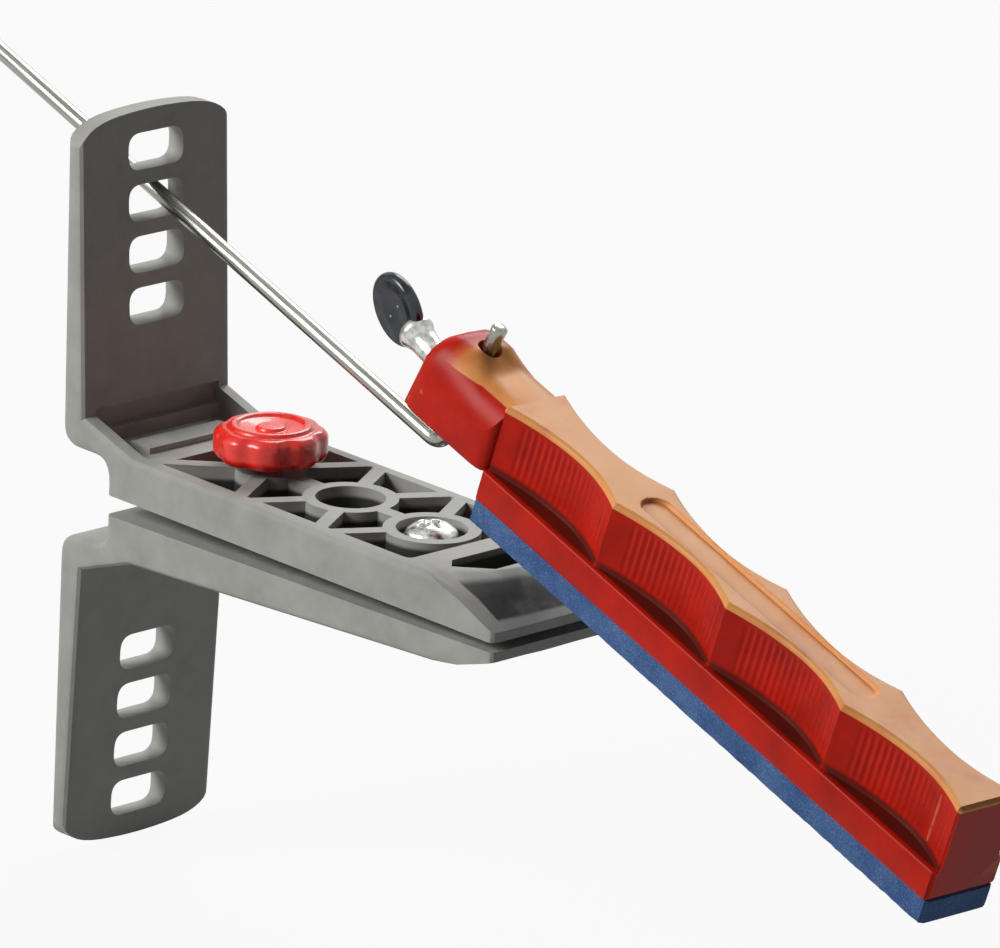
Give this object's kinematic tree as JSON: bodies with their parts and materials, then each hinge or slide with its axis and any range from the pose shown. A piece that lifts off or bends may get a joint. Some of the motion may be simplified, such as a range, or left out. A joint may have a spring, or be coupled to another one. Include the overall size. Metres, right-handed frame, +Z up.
{
  "type": "guided edge sharpening clamp",
  "caption": "Two-half clamp with slotted angle uprights, a closing knob, a bent guide rod and a bar hone in a finger-grooved holder.",
  "frame": {"origin": "on the axis of the stand-post bore, where it leaves the lower clamp half's underside", "axes": "+X along the clamp towards the jaws, +Y across the clamp, +Z up from the lower half to the upper half"},
  "size_m": [0.2655, 0.0294, 0.1302],
  "materials": {
    "cast_aluminium": "tumbled die casting, satin grey",
    "plated_steel": "bright zinc plate",
    "rod_steel": "drawn and polished wire",
    "knob_plastic": "moulded, glossy bright red",
    "holder_plastic": "moulded, semi-gloss deep red",
    "abrasive": "fine grit bonded abrasive, matt blue",
    "thumb_steel": "dark bright-plated steel"
  },
  "bodies": {
    "lower_half": {"lower_clamp_half": "cast_aluminium"},
    "upper_half": {"upper_clamp_half": "cast_aluminium"},
    "jaw_screw_body": {"jaw_screw": "plated_steel"},
    "knob": {"clamp_knob": "knob_plastic", "clamp_stud": "plated_steel"},
    "rod": {"guide_rod": "rod_steel"},
    "hone": {"hone_holder": "holder_plastic", "hone_stone": "abrasive"},
    "thumb": {"thumb_screw": "thumb_steel"}
  },
  "joints": [
    {"name": "clamp_close", "type": "hinge", "parent": "lower_half", "child": "upper_half", "pos_m": [0.0174, 0, 0.01265], "axis": [0, 1, 0], "range_deg": [-1.5, 1.5]},
    {"name": "knob_turn", "type": "hinge", "parent": "lower_half", "child": "knob", "pos_m": [-0.0174, 0, 0.01395], "axis": [0, 0, 1], "range_deg": [-420, 420]},
    {"name": "jaw_screw_turn", "type": "hinge", "parent": "lower_half", "child": "jaw_screw_body", "pos_m": [0.0174, 0, 0.01095], "axis": [0, 0, 1], "range_deg": [-180, 720]},
    {"name": "rod_stroke", "type": "slide", "parent": "upper_half", "child": "rod", "axis": [0.9439, -0.0445, -0.3272], "range_m": [-0.045, 0.06]},
    {"name": "hone_swing", "type": "hinge", "parent": "rod", "child": "hone", "pos_m": [0.02054, -0.00143, 0.02782], "axis": [0.501, -0.0236, 0.8652], "range_deg": [-120, 120]},
    {"name": "thumb_screw_turn", "type": "hinge", "parent": "hone", "child": "thumb", "pos_m": [0.02565, -0.00167, 0.03665], "axis": [-0.8642, 0.0408, 0.5015], "range_deg": [0, 720]}
  ],
  "couplings": [
    {"joint": "knob_turn", "follows": "clamp_close", "ratio": -275.4}
  ]
}
